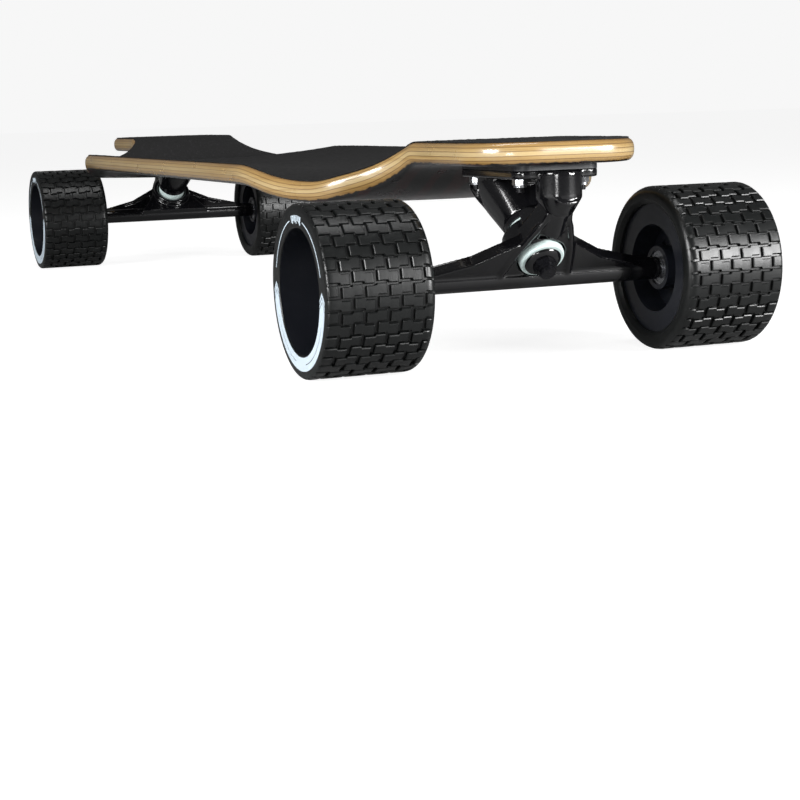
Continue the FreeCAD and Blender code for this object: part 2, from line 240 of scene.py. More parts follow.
def startMaterial(name, look):
    material = bpy.data.materials.new(name)
    material.use_nodes = True
    tree = material.node_tree
    shader = tree.nodes["Principled BSDF"]
    shader.inputs["Base Color"].default_value = (*look["colour"], 1)
    shader.inputs["Metallic"].default_value = look.get("metallic", 0.0)
    shader.inputs["Coat Weight"].default_value = look.get("coat", 0.0)
    shader.inputs["Coat Roughness"].default_value = look.get("coatRoughness", 0.03)
    shader.inputs["Specular IOR Level"].default_value = look.get("specular", 0.5)
    wear = placeGroup(tree, surfaceWear, {
        "Scale": look.get("scale", 60.0), "Roughness": look["roughness"],
        "Unevenness": look.get("unevenness", 0.1), "Dust": look.get("dust", 0.1)})
    tree.links.new(wear.outputs["Roughness"], shader.inputs["Roughness"])
    bump = addNode(tree, "ShaderNodeBump", None, {
        "Strength": look.get("bump", 0.1), "Distance": look.get("bumpDepth", 0.0002),
        "Height": wear.outputs["Height"]})
    tree.links.new(bump.outputs[0], shader.inputs["Normal"])
    return material, tree, shader, wear, bump


def plainMaterial(name, look):
    material, tree, shader, wear = startMaterial(name, look)[:4]
    dusty = mixColour(tree, wear.outputs["Dust"], look["colour"], look.get("dustColour", (0.3, 0.3, 0.3)))
    marks = placeGroup(tree, hairScratches, {
        "Scale": look.get("scratchScale", 30.0), "Amount": look.get("scratches", 0.15),
        "Stretch": look.get("stretch", (1.0, 12.0, 1.0))})
    worn = mixColour(tree, marks.outputs["Mask"], dusty, look.get("scratchColour", (0.12, 0.12, 0.13)))
    tree.links.new(worn, shader.inputs["Base Color"])
    return material


finishes = {
    "castPaint": {"colour": (0.003, 0.003, 0.0037), "roughness": 0.14, "unevenness": 0.05, "coat": 0.35,
                  "coatRoughness": 0.05, "bump": 0.12, "bumpDepth": 0.0003, "scale": 45.0, "dust": 0.03,
                  "dustColour": (0.1, 0.1, 0.1), "scratches": 0.06},
    "blackSteel": {"colour": (0.009, 0.009, 0.011), "metallic": 0.5, "roughness": 0.28, "unevenness": 0.12,
                   "scale": 120.0, "dust": 0.15, "scratches": 0.3, "scratchColour": (0.2, 0.2, 0.2)},
    "zincSteel": {"colour": (0.42, 0.43, 0.45), "metallic": 0.95, "roughness": 0.3, "unevenness": 0.15,
                  "scale": 150.0, "dust": 0.2, "dustColour": (0.12, 0.11, 0.1), "scratches": 0.4,
                  "scratchColour": (0.65, 0.65, 0.66)},
    # steel for the hub's inner parts (bearings, spacer, speed washers, axle): its colour is kept well below
    # plain steel and the zinc, as painted shade for the wheel's shaded hub
    "shadedBearingSteel": {"colour": (0.26, 0.265, 0.28), "metallic": 0.9, "roughness": 0.26, "unevenness": 0.1,
                     "scale": 200.0, "dust": 0.15, "dustColour": (0.08, 0.08, 0.08), "scratches": 0.3,
                     "stretch": (6.0, 1.0, 6.0), "scratchColour": (0.6, 0.6, 0.6)},
    "cupPlastic": {"colour": (0.02, 0.02, 0.022), "roughness": 0.5, "scale": 100.0, "dust": 0.2},
    "riserRubber": {"colour": (0.035, 0.036, 0.04), "roughness": 0.42, "unevenness": 0.15, "scale": 80.0,
                    "bump": 0.25, "dust": 0.3, "dustColour": (0.16, 0.16, 0.17)},
    "corePlastic": {"colour": (0.006, 0.007, 0.0105), "roughness": 0.36, "unevenness": 0.06, "scale": 35.0,
                    "specular": 0.6, "bump": 0.06, "dust": 0.05, "dustColour": (0.06, 0.07, 0.09),
                    "scratches": 0.06},
    "tyreUrethane": {"colour": (0.0036, 0.0042, 0.0042), "roughness": 0.34, "unevenness": 0.1, "scale": 70.0,
                     "specular": 0.4, "bump": 0.3, "bumpDepth": 0.0002, "dust": 0.12,
                     "dustColour": (0.06, 0.066, 0.066), "scratches": 0.12,
                     "scratchColour": (0.04, 0.043, 0.043), "scratchScale": 60.0},
    "ringInk": {"colour": (0.62, 0.72, 0.80), "roughness": 0.45, "scale": 160.0, "dust": 0.5,
                "dustColour": (0.22, 0.26, 0.3), "scratches": 0.35, "scratchColour": (0.1, 0.11, 0.12)},
}
made = {name: plainMaterial(name, look) for name, look in finishes.items()}


# deck

deckValues = {
    "platformTop": 137.0, "lowTop": 113.2, "midTop": 124.7,
    "platformEnd": 404.0, "lowLine": 337.0, "midEnd": 262.0,
    "thickness": 14.0, "midConcave": 9.5, "lowConcave": 2.5,
    "dishHalf": 135.0, "dishNarrowing": 45.0,      # half width of the dished part, and its loss to the ends
    "cornerRadius": 38.0,
    "edgeDepth": 6.0,       # how far in the rounding of the edge starts
    "edgePower": 2.5,       # 2 is a half round, more is squarer
    "edgeSteps": 14,
    "sideStep": 3.0,
    "faceRings": [1.0, 0.9, 0.78, 0.66, 0.54, 0.42, 0.3, 0.2, 0.11, 0.04],     # shares of the way inwards
}
halfWidths = [
    (0, 135.0), (120, 134.5), (240, 133.0), (285, 129.0), (310, 121.0), (336, 106.0), (356, 91.0),
    (370, 71.0), (385, 59.0), (402, 56.5), (440, 56.5), (478, 57.0),
]
dv = deckValues
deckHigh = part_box("deck")[1]
halfLength = deckHigh.x / mm
straightWidth = halfWidths[-1][1]
cornerX = halfLength - dv["cornerRadius"]
cornerY = straightWidth - dv["cornerRadius"]


def edgeHeight(x):
    a = abs(x)
    if a >= dv["lowLine"]:
        t = (a - dv["lowLine"]) / (dv["platformEnd"] - dv["lowLine"])
        return dv["lowTop"] + (dv["platformTop"] - dv["lowTop"]) * smoothStep(t)
    t = (a - dv["midEnd"]) / (dv["lowLine"] - dv["midEnd"])
    return dv["midTop"] + (dv["lowTop"] - dv["midTop"]) * smoothStep(t)


def concaveDepth(x):
    a = abs(x)
    if a >= dv["lowLine"]:
        t = (a - dv["lowLine"]) / (dv["platformEnd"] - dv["lowLine"])
        return dv["lowConcave"] * (1 - smoothStep(t))
    t = (a - dv["midEnd"]) / (dv["lowLine"] - dv["midEnd"])
    return dv["midConcave"] + (dv["lowConcave"] - dv["midConcave"]) * smoothStep(t)


def deckTop(x, y):
    t = (abs(x) - dv["midEnd"]) / (dv["platformEnd"] - dv["midEnd"])
    across = y / (dv["dishHalf"] - dv["dishNarrowing"] * smoothStep(t))
    return edgeHeight(x) - concaveDepth(x) * (1 - across * across)


def deckBottom(x, y):
    slope = deckTop(x + 0.5, y) - deckTop(x - 0.5, y)
    return deckTop(x, y) - dv["thickness"] * math.sqrt(1 + slope * slope)


def halfWidth(x):
    # smooth curve through halfWidths
    a = min(abs(x), halfWidths[-1][0])
    points = halfWidths
    for i in range(len(points) - 1):
        if a <= points[i + 1][0]:
            break

    def slopeAt(k):
        if k == 0 or k == len(points) - 1:
            return 0.0
        (x0, y0), (x1, y1), (x2, y2) = points[k - 1], points[k], points[k + 1]
        first = (y1 - y0) / (x1 - x0)
        second = (y2 - y1) / (x2 - x1)
        return (first * (x2 - x1) + second * (x1 - x0)) / (x2 - x0)

    (x0, y0), (x1, y1) = points[i], points[i + 1]
    span = x1 - x0
    t = (a - x0) / span
    return (y0 * (2 * t ** 3 - 3 * t ** 2 + 1) + y1 * (3 * t ** 2 - 2 * t ** 3)
            + slopeAt(i) * span * (t ** 3 - 2 * t ** 2 + t) + slopeAt(i + 1) * span * (t ** 3 - t ** 2))


def deckOutline(step, inset=0.0):
    # counter-clockwise loop of (x, y, normal x, normal y), the same on both sides
    quarter = []
    count = int(cornerX / step)
    for i in range(count + 1):
        x = cornerX * i / count
        slope = (halfWidth(x + 0.2) - halfWidth(x - 0.2)) / 0.4 if 0.2 < x < cornerX - 0.2 else 0.0
        size = math.hypot(slope, 1)
        quarter.append((x, halfWidth(x), -slope / size, 1 / size))
    steps = max(6, int(dv["cornerRadius"] * math.pi / 2 / step))
    for i in range(1, steps + 1):
        angle = math.pi / 2 * (1 - i / steps)
        quarter.append((cornerX + dv["cornerRadius"] * math.cos(angle),
                        cornerY + dv["cornerRadius"] * math.sin(angle), math.cos(angle), math.sin(angle)))
    steps = max(2, int(cornerY / step))
    for i in range(1, steps + 1):
        quarter.append((halfLength, cornerY * (1 - i / steps), 1.0, 0.0))
    loop = [(x, -y, nx, -ny) for x, y, nx, ny in quarter]
    loop += quarter[-2::-1]
    loop += [(-x, y, -nx, ny) for x, y, nx, ny in quarter[1:]]
    loop += [(-x, -y, -nx, -ny) for x, y, nx, ny in reversed(quarter[1:-1])]
    return [(x - inset * nx, y - inset * ny, nx, ny) for x, y, nx, ny in loop]


def towardsSpine(x, y, t):
    # a point on the way from the outline to the deck's middle line
    spine = math.copysign(min(abs(x), cornerX), x)
    return x + (spine - x) * t, y * (1 - t)


def buildDeck():
    outline = deckOutline(dv["sideStep"])
    verts, plies = [], []

    def addRing(inset, share, t):
        for x, y, nx, ny in outline:
            px, py = towardsSpine(x - inset * nx, y - inset * ny, t)
            top = deckTop(px, py)
            bottom = deckBottom(px, py)
            verts.append((px * mm, py * mm, (bottom + (top - bottom) * share) * mm))
            plies.append(1 - share)

    for t in dv["faceRings"]:
        addRing(dv["edgeDepth"], 1.0, t)
    for i in range(dv["edgeSteps"] + 1):
        angle = math.pi * (0.5 - i / dv["edgeSteps"])
        cosine = max(math.cos(angle), 0.0) ** (2 / dv["edgePower"])
        sine = math.copysign(abs(math.sin(angle)) ** (2 / dv["edgePower"]), math.sin(angle))
        addRing(dv["edgeDepth"] * (1 - cosine), (1 + sine) / 2, 0.0)
    for t in reversed(dv["faceRings"]):
        addRing(dv["edgeDepth"], 0.0, t)
    faces = ringFaces(len(verts) // len(outline), len(outline))
    deck = newObject("deckBoard", verts, faces, None, deckWood, sharpAngle=60)
    ply = deck.data.attributes.new("plyDepth", "FLOAT", "POINT")
    ply.data.foreach_set("value", plies)
    addWeld(deck)
    applyModifiers(deck)
    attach(deck, "board")
    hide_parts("deck")
    return deck


plyLook = {
    # depth from the top, colour; the thin dark lines are the glue lines and the stained plies
    "layers": [
        (0.00, (0.19, 0.10, 0.036)), (0.08, (0.33, 0.20, 0.07)), (0.19, (0.37, 0.235, 0.085)),
        (0.205, (0.115, 0.058, 0.02)), (0.24, (0.41, 0.27, 0.105)), (0.37, (0.47, 0.33, 0.145)),
        (0.385, (0.13, 0.068, 0.024)), (0.42, (0.51, 0.375, 0.185)), (0.57, (0.53, 0.40, 0.20)),
        (0.585, (0.135, 0.07, 0.025)), (0.62, (0.42, 0.28, 0.11)), (0.74, (0.44, 0.295, 0.12)),
        (0.755, (0.115, 0.058, 0.02)), (0.79, (0.37, 0.235, 0.085)), (0.885, (0.30, 0.18, 0.06)),
        (0.905, (0.035, 0.02, 0.011)), (0.925, (0.006, 0.005, 0.005)),
    ],
    "bottomColour": (0.0045, 0.0042, 0.0045),
    "graphicColour": (0.02, 0.0032, 0.0035),
    "wander": 0.045,        # how far the glue lines drift, as a share of the thickness
    "raggedPaint": 0.16,    # how unevenly the paint of the underside ends
    "raggedFrom": 0.82,
    "finish": {"colour": (0.6, 0.4, 0.2), "roughness": 0.3, "unevenness": 0.1, "scale": 40.0, "coat": 0.85,
               "coatRoughness": 0.16, "bump": 0.08, "bumpDepth": 0.0003},
}


def buildDeckWood():
    material, tree, shader, wear, bump = startMaterial("deckWood", plyLook["finish"])
    coords = addNode(tree, "ShaderNodeTexCoord").outputs["Object"]
    depth = addNode(tree, "ShaderNodeAttribute", {"attribute_name": "plyDepth"}).outputs["Fac"]
    # the lines wander a little, and the paint creeps up the edge in a ragged line
    wander = addNode(tree, "ShaderNodeTexNoise", None, {"Vector": coords, "Scale": 18.0, "Detail": 2.0})
    ragged = addNode(tree, "ShaderNodeTexNoise", None, {"Vector": coords, "Scale": 260.0, "Detail": 4.0})
    shift = maths(tree, "MULTIPLY", maths(tree, "SUBTRACT", wander.outputs[0], 0.5), plyLook["wander"])
    creep = maths(tree, "MULTIPLY", maths(tree, "SUBTRACT", ragged.outputs[0], 0.5), plyLook["raggedPaint"])
    place = maths(tree, "ADD", maths(tree, "ADD", depth, shift),
                  maths(tree, "MULTIPLY", creep, maths(tree, "GREATER_THAN", depth, plyLook["raggedFrom"])))
    layers = ramp(tree, place, plyLook["layers"])
    # long fibres in each ply, stretched along the board
    fibreSpace = addNode(tree, "ShaderNodeMapping", None, {"Vector": coords, "Scale": (7.0, 7.0, 420.0)})
    fibres = addNode(tree, "ShaderNodeTexNoise", None,
                     {"Vector": fibreSpace.outputs[0], "Scale": 1.6, "Detail": 3.0, "Roughness": 0.6})
    fibreTone = ramp(tree, fibres.outputs[0], [
        (0.3, (0.72, 0.62, 0.5)), (0.52, (1, 1, 1)), (0.72, (1.0, 0.97, 0.9))])
    wood = mixColour(tree, 0.75, layers, fibreTone, "MULTIPLY")
    broadSpace = addNode(tree, "ShaderNodeMapping", None, {"Vector": coords, "Scale": (7.0, 7.0, 30.0)})
    broad = addNode(tree, "ShaderNodeTexNoise", None,
                    {"Vector": broadSpace.outputs[0], "Scale": 1.0, "Detail": 3.0})
    toned = mixColour(tree, 0.7, wood, ramp(tree, broad.outputs[0], [
        (0.3, (0.72, 0.66, 0.55)), (0.5, (1, 1, 1)), (0.7, (1.0, 1.0, 1.0))]), "MULTIPLY")
    # painted underside with a soft red pattern of bent bands
    bandSpace = addNode(tree, "ShaderNodeMapping", None, {"Vector": coords, "Scale": (5.0, 11.0, 1.0)})
    bands = addNode(tree, "ShaderNodeTexWave", {"wave_type": "RINGS"},
                    {"Vector": bandSpace.outputs[0], "Scale": 1.3, "Distortion": 7.0, "Detail": 3.0})
    graphic = mixColour(tree, ramp(tree, bands.outputs[1], [(0.55, (0, 0, 0)), (0.8, (1, 1, 1))]),
                        plyLook["bottomColour"], plyLook["graphicColour"])
    below = ramp(tree, place, [(0.91, (0, 0, 0)), (0.955, (1, 1, 1))])
    painted = mixColour(tree, below, toned, graphic)
    tree.links.new(painted, shader.inputs["Base Color"])
    ridges = maths(tree, "ADD", maths(tree, "MULTIPLY", fibres.outputs[0], 0.6), wear.outputs["Height"])
    tree.links.new(ridges, bump.inputs["Height"])
    return material


deckWood = buildDeckWood()
deck = buildDeck()
print("deck:", len(deck.data.vertices), "points")


# grip tape

gripValues = {
    "inset": 3.2, "step": 2.6, "ringCount": 44,
    "lift": 0.55, "tuck": -0.3,                     # the sheet's height over the wood, and its sunken rim
    "rimDrop": 0.15, "rimWidth": 0.008, "headroom": 0.01,
    "grainHeight": 0.42, "grainSize": 2.3,
    "coarseGrain": 0.7, "fineGrain": 0.5, "fineSize": 0.45,
    "boltHeadRadius": 4.8, "holeRadius": 5.1, "holeSides": 32, "holeReach": 4.0,
}
gripLook = {"colour": (0.0075, 0.0073, 0.0075), "roughness": 0.8, "specular": 0.3, "unevenness": 0.15,
            "scale": 25.0, "bump": 0.5, "bumpDepth": 0.0006, "dust": 0.15, "dustColour": (0.05, 0.05, 0.05),
            "sparkColour": (0.045, 0.045, 0.05)}


def buildGripMaterial():
    material, tree, shader, wear, bump = startMaterial("gripGrit", gripLook)
    coords = addNode(tree, "ShaderNodeTexCoord").outputs["Object"]
    grit = addNode(tree, "ShaderNodeTexVoronoi", None, {"Vector": coords, "Scale": 1500.0})
    clumps = addNode(tree, "ShaderNodeTexNoise", None, {"Vector": coords, "Scale": 420.0, "Detail": 3.0})
    sparkle = ramp(tree, grit.outputs[1], [(0.86, (0, 0, 0)), (0.93, (1, 1, 1))])
    tone = mixColour(tree, wear.outputs["Dust"], gripLook["colour"], gripLook["dustColour"])
    tree.links.new(mixColour(tree, sparkle, tone, gripLook["sparkColour"]), shader.inputs["Base Color"])
    height = maths(tree, "ADD", maths(tree, "MULTIPLY", grit.outputs[0], 0.8), clumps.outputs[0])
    tree.links.new(height, bump.inputs["Height"])
    return material


def buildBoltCutter():
    # one round plug over each bolt head, all in one object
    gv = gripValues
    around = gv["holeSides"]
    headRadius = gv["boltHeadRadius"] * mm
    radius = gv["holeRadius"] * mm
    centres = []
    for end in ends:
        low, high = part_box(end + "_truck_bolts")
        for x in (low.x + headRadius, high.x - headRadius):
            for y in (low.y + headRadius, high.y - headRadius):
                centres.append((x, y))
    points, faces = [], []
    for x, y in centres:
        base = len(points)
        for z in (deckHigh.z - gv["holeReach"] * mm, deckHigh.z + gv["holeReach"] * mm):
            for i in range(around):
                angle = 2 * math.pi * i / around
                points.append((x + radius * math.cos(angle), y + radius * math.sin(angle), z))
        for i in range(around):
            j = (i + 1) % around
            faces.append((base + i, base + j, base + around + j, base + around + i))
        faces.append(tuple(base + around - 1 - i for i in range(around)))
        faces.append(tuple(base + around + i for i in range(around)))
    mesh = bpy.data.meshes.new("gripCutters")
    mesh.from_pydata(points, [], faces)
    cutter = bpy.data.objects.new("gripCutters", mesh)
    bpy.context.scene.collection.objects.link(cutter)
    return cutter


def buildGrip():
    gv = gripValues
    outline = deckOutline(gv["step"], gv["inset"])
    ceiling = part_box("grip_tape")[1].z / mm
    verts = []

    def addRing(t, lift, rough):
        for x, y, nx, ny in outline:
            px, py = towardsSpine(x, y, t)
            grain = noise.noise(Vector((px, py, 0)) / gv["grainSize"]) * gv["coarseGrain"]
            grain += noise.noise(Vector((px, py, 7)) / (gv["grainSize"] * gv["fineSize"])) * gv["fineGrain"]
            z = deckTop(px, py) + lift + rough * gv["grainHeight"] * grain
            if abs(px) > dv["platformEnd"]:
                z = min(z, ceiling - gv["headroom"])
            verts.append((px * mm, py * mm, z * mm))

    count = gv["ringCount"]
    addRing(0.0, gv["tuck"], 0.0)
    addRing(0.0, gv["lift"] - gv["rimDrop"], 1.0)
    rim = gv["rimWidth"]
    for i in range(count):
        addRing(rim + (1 - rim) * i / (count - 1), gv["lift"], 1.0)
    addRing(1.0, gv["tuck"], 0.0)
    verts = verts[::-1]
    faces = ringFaces(count + 3, len(outline))
    grip = newObject("gripSheet", verts, faces, None, gripGrit, sharpAngle=60)
    cutter = buildBoltCutter()
    addWeld(grip)
    cut = grip.modifiers.new("holes", "BOOLEAN")
    cut.operation = "DIFFERENCE"
    cut.solver = "FAST"
    cut.object = cutter
    applyModifiers(grip)
    bpy.data.objects.remove(cutter)
    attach(grip, "board")
    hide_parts("grip_tape")
    return grip


gripGrit = buildGripMaterial()
grip = buildGrip()
print("grip tape:", len(grip.data.vertices), "points")


# wheels

tyreValues = {
    "rows": 42, "blockPitch": 14.8,
    "rowGap": 1.1, "blockGap": 2.3,     # grooves between the rows, and between the blocks of a row
    "grooveDepth": 1.9, "wallDrop": 0.5, "chamferDrop": 0.04,      # depths of the groove, wall and chamfer
    "wall": 0.15, "chamfer": 0.6,       # where the groove's wall and the chamfer end, past the groove
    "zigzag": 0.65,                     # each block's halves are stepped this far along the tread, both ways
    "outerShoulder": 2.4, "innerShoulder": 5.5, "shoulderSteps": 6,
    "firstBlock": 1.0, "lastGroove": 6.5,           # from the outer face, and from the inner one
    "crossover": 0.35,                              # half the width over which a groove changes its step
    "innerFade": (2.2, 2.4), "outerFade": (0.5, 0.9),       # where the grooves fade in, and over how far
    "faceInset": 0.18,                  # leaves room for the printed ring inside the CAD width
    "lipRadius": 38.2, "lipThickness": 0.85, "seatRadius": 41.15,
}
tv = tyreValues


def shoulderRadius(u, radius, width):
    outer = tv["outerShoulder"]
    inner = tv["innerShoulder"]
    if u > width - outer:
        return radius - outer + math.sqrt(max(outer ** 2 - (u - width + outer) ** 2, 0))
    if u < inner:
        return radius - inner + math.sqrt(max(inner ** 2 - (inner - u) ** 2, 0))
    return radius


def blockLevel(distance, gap):
    # 0 in a groove, 1 at the top of its wall, 2 where the chamfer ends, 3 on the block
    past = distance - gap / 2
    if past <= 0.01:
        return 0
    if past <= tv["wall"] + 0.01:
        return 1
    if past <= tv["chamfer"] + 0.01:
        return 2
    return 3


def treadLines(width):
    # lines across the tread from the inner face to the outer one, and the grooves of odd and even rows
    grooves = {0: [], 1: []}
    firstGroove = width - tv["firstBlock"] - tv["blockPitch"] / 2
    for k in range(10):
        u = firstGroove - k * tv["blockPitch"] / 2
        if u > tv["lastGroove"]:
            grooves[k % 2].append(u)
    half = tv["blockGap"] / 2
    lines = set()
    for u in grooves[0] + grooves[1]:
        for stop in (tv["crossover"], half, half + tv["wall"], half + tv["chamfer"]):
            lines.update((round(u - stop, 3), round(u + stop, 3)))
        lines.add(round(u + tv["blockPitch"] / 4, 3))
    for i in range(tv["shoulderSteps"] + 1):
        bend = 1 - math.cos(math.radians(90 / tv["shoulderSteps"] * i))
        lines.add(round(tv["innerShoulder"] * bend, 3))
        lines.add(round(width - tv["outerShoulder"] * bend, 3))
    ordered = sorted(u for u in lines if 0 <= u <= width)
    return [u for i, u in enumerate(ordered) if i == 0 or u - ordered[i - 1] > 0.05], grooves


def zigzagAt(u, grooves):
    # +1 on one half of each block and -1 on the other, crossing over at the groove lines
    near = min(grooves[0] + grooves[1], key=lambda g: abs(u - g))
    way = 1 if near in grooves[0] else -1
    return way * max(-1.0, min(1.0, (u - near) / tv["crossover"]))


def wheelPoint(r, angle, u):
    return (r * math.cos(angle) * mm, u * mm, r * math.sin(angle) * mm)


def buildTyre(end, side):
    name = end + "_" + side + "_tyre"
    low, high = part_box(name)
    radius = (high.z - low.z) / 2 / mm
    width = (high.y - low.y) / mm - tv["faceInset"]
    sign = sides[side]
    drop = {0: tv["grooveDepth"], 1: tv["wallDrop"], 2: tv["chamferDrop"], 3: 0.0}
    lines, grooves = treadLines(width)
    half = tv["rowGap"] / 2
    rowStops = [half, half + tv["wall"], half + tv["chamfer"]]
    pitch = 2 * math.pi / tv["rows"]
    reach = pitch * radius
    columns = []
    for row in range(tv["rows"]):
        for place in rowStops + [reach / 2] + [reach - s for s in reversed(rowStops)]:
            level = blockLevel(min(place, reach - place), tv["rowGap"])
            columns.append((row * pitch + place / radius, level, row % 2))
    lip, seat = tv["lipRadius"], tv["seatRadius"]
    back = width - tv["lipThickness"]
    profile = [(48.0, width + 0.001), (lip + 0.5, width), (lip, width - 0.5), (lip, back), (40.9, back),
               (seat, width - 3.0), (seat, 4.0), (seat, 2.0), (42.5, 1.0), (44.2, 0.12)]
    innerStart, innerRun = tv["innerFade"]
    outerStart, outerRun = tv["outerFade"]
    across = []
    for u in lines:
        fade = min(1, max(0, (u - innerStart) / innerRun)) * min(1, max(0, (width - outerStart - u) / outerRun))
        levels = [blockLevel(min(abs(u - g) for g in grooves[parity]), tv["blockGap"]) for parity in (0, 1)]
        across.append((u, shoulderRadius(u, radius, width), fade, levels,
                       zigzagAt(u, grooves) * fade * tv["zigzag"] / radius))
    verts, faces = [], []
    middle = width / 2 + tv["faceInset"] / 2
    for angle, rowLevel, parity in columns:
        for u, envelope, fade, levels, shift in across:
            r = envelope - drop[min(rowLevel, levels[parity])] * fade
            verts.append(wheelPoint(r, angle + shift, sign * (u - middle)))
        for r, u in profile:
            verts.append(wheelPoint(r, angle, sign * (u - middle)))
    around = len(lines) + len(profile)
    count = len(columns)
    for i in range(count):
        j = (i + 1) % count
        for k in range(around):
            m = (k + 1) % around
            quad = (i * around + k, j * around + k, j * around + m, i * around + m)
            faces.append(quad if sign > 0 else quad[::-1])
    tyre = newObject(end + "_" + side + "_treadTyre", verts, faces, None, made["tyreUrethane"],
                     sharpAngle=24)
    tyre.location = centreOf(name)
    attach(tyre, end + "_" + side + "_wheel")
    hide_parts(name)
    return tyre


printValues = {
    "thickness": 0.14, "clearance": 0.02, "stepDegrees": 2,
    "bandInner": 39.0, "bandOuter": 47.3, "bandFrom": 190, "bandTo": 350,
    "lineRadius": 43.3, "lineWidth": 0.5, "lineSpans": [(203, 258), (282, 337)],
    "chevronLead": 6.5, "chevronWidth": 2.6, "chevronGap": 1.3,
    "arcRadius": 43.2, "arcWidth": 0.7, "arcSpans": [(16, 74), (106, 164)],
    "tickInner": 40.6, "tickOuter": 45.6, "tickCount": 8, "tickFrom": 79.5, "tickStep": 3.0,
    "tickHalves": (1.05, 0.7), "tickRise": 0.8,
}


def printedPatch(verts, faces, corners, depth):
    # a thin raised patch; corners are (radius, degrees) round its outline
    base = len(verts)
    count = len(corners)
    for u in (0, depth):
        for r, degrees in corners:
            angle = math.radians(degrees)
            verts.append((r * math.cos(angle), u, r * math.sin(angle)))
    faces.append(tuple(base + i for i in range(count)))
    faces.append(tuple(base + count + i for i in reversed(range(count))))
    for i in range(count):
        j = (i + 1) % count
        faces.append((base + i, base + count + i, base + count + j, base + j))


def printedBand(verts, faces, inner, outer, start, stop, depth):
    base = len(verts)
    steps = max(2, int((stop - start) / printValues["stepDegrees"]))
    for i in range(steps + 1):
        angle = math.radians(start + (stop - start) * i / steps)
        c, s = math.cos(angle), math.sin(angle)
        verts.extend((r * c, u, r * s) for r, u in ((inner, 0), (outer, 0), (outer, depth), (inner, depth)))
    for i in range(steps):
        a = base + 4 * i
        for k in range(4):
            m = (k + 1) % 4
            faces.append((a + k, a + 4 + k, a + 4 + m, a + m))
    faces.append((base + 3, base + 2, base + 1, base))
    last = base + 4 * steps
    faces.append((last, last + 1, last + 2, last + 3))


def buildPrint(end, side):
    pv = printValues
    low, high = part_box(end + "_" + side + "_tyre")
    verts, faces = [], []
    depth = pv["thickness"]
    inner, outer, line = pv["bandInner"], pv["bandOuter"], pv["lineRadius"]
    half = pv["lineWidth"] / 2
    # broad band over the lower half, with a thin line left open along its middle
    plain = [(pv["bandFrom"], pv["lineSpans"][0][0]), (pv["lineSpans"][0][1], pv["lineSpans"][1][0]),
             (pv["lineSpans"][1][1], pv["bandTo"])]
    for start, stop in plain:
        printedBand(verts, faces, inner, outer, start, stop, depth)
    for start, stop in pv["lineSpans"]:
        printedBand(verts, faces, inner, line - half, start, stop, depth)
        printedBand(verts, faces, line + half, outer, start, stop, depth)
    # two chevrons and a point at each end of the band
    lead, wide, gap = pv["chevronLead"], pv["chevronWidth"], pv["chevronGap"]
    for start, way in ((pv["bandFrom"], -1), (pv["bandTo"], 1)):
        printedPatch(verts, faces, [(inner, start), (outer, start), (line, start + way * lead)], depth)
        for k in (0, 1):
            a = start + way * (gap + k * (wide + gap))
            b = a + way * wide
            near, far = (line, a + way * lead), (line, b + way * lead)
            printedPatch(verts, faces, [(inner, a), near, far, (inner, b)], depth)
            printedPatch(verts, faces, [near, (outer, a), (outer, b), far], depth)
    # thin arc over the upper half, open at the top, where plain bars stand
    for start, stop in pv["arcSpans"]:
        printedBand(verts, faces, pv["arcRadius"] - pv["arcWidth"] / 2, pv["arcRadius"] + pv["arcWidth"] / 2,
                    start, stop, depth)
    for i in range(pv["tickCount"]):
        middle = pv["tickFrom"] + pv["tickStep"] * i
        wide = pv["tickHalves"][i % 2]
        foot = pv["tickInner"] + pv["tickRise"] * (i % 3)
        printedBand(verts, faces, foot, pv["tickOuter"], middle - wide, middle + wide, depth)
    face = (high.y - low.y) / 2 / mm - depth - pv["clearance"]
    placed = [(x * mm, sides[side] * (face + u) * mm, z * mm) for x, u, z in verts]
    name = end + "_" + side + "_facePrint"
    ring = newObject(name, placed, faces, None, made["ringInk"], sharpAngle=30, turnOutwards=True)
    ring.location = (low + high) / 2
    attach(ring, end + "_" + side + "_wheel")
    return ring


for end in ends:
    for side in sides:
        buildTyre(end, side)
        buildPrint(end, side)
print("wheels built")


# castings, the CAD shape with softened edges

castValues = {
    "voxel": 0.0008, "smoothing": 4,
    # ribs on the hanger's front: (along the steering axis, sideways) in mm from where the kingpin crosses it
    "rib": [(36.0, 6.6), (28.0, 10.2), (18.0, 14.2), (6.0, 18.2), (-6.0, 21.2), (-16.0, 23.4), (-23.0, 24.6)],
    "ribRadius": 2.1, "ribDepth": -4.0, "ribSides": 12, "ribTip": 0.55,
}


def kingpinFrame(end):
    joint = next(j for j in frame["joints"] if j["name"] == end + "_steer")
    along = Vector(joint["axis"]).normalized()
    rise = Vector((-abs(along.x) * ends[end], 0, along.z)).normalized()
    return Vector(joint["pos_m"]), along, rise


def addRibs(end, verts, faces):
    origin, along, rise = kingpinFrame(end)
    across = Vector((0, 1, 0))
    around = castValues["ribSides"]
    for way in (-1, 1):
        path = [origin + (along * s + across * (way * y) + rise * castValues["ribDepth"]) * mm
                for s, y in castValues["rib"]]
        base = len(verts)
        last = len(path) - 1
        for i, point in enumerate(path):
            run = (path[min(i + 1, last)] - path[max(i - 1, 0)]).normalized()
            side = run.cross(rise).normalized()
            size = castValues["ribRadius"] * (castValues["ribTip"] if i in (0, last) else 1.0)
            for k in range(around):
                turn = 2 * math.pi * k / around
                verts.append(point + (side * math.cos(turn) + rise * math.sin(turn)) * size * mm)
        for i in range(last):
            for k in range(around):
                m = (k + 1) % around
                a = base + i * around
                faces.append((a + k, a + m, a + around + m, a + around + k))
        faces.append(tuple(base + around - 1 - k for k in range(around)))
        faces.append(tuple(base + last * around + k for k in range(around)))


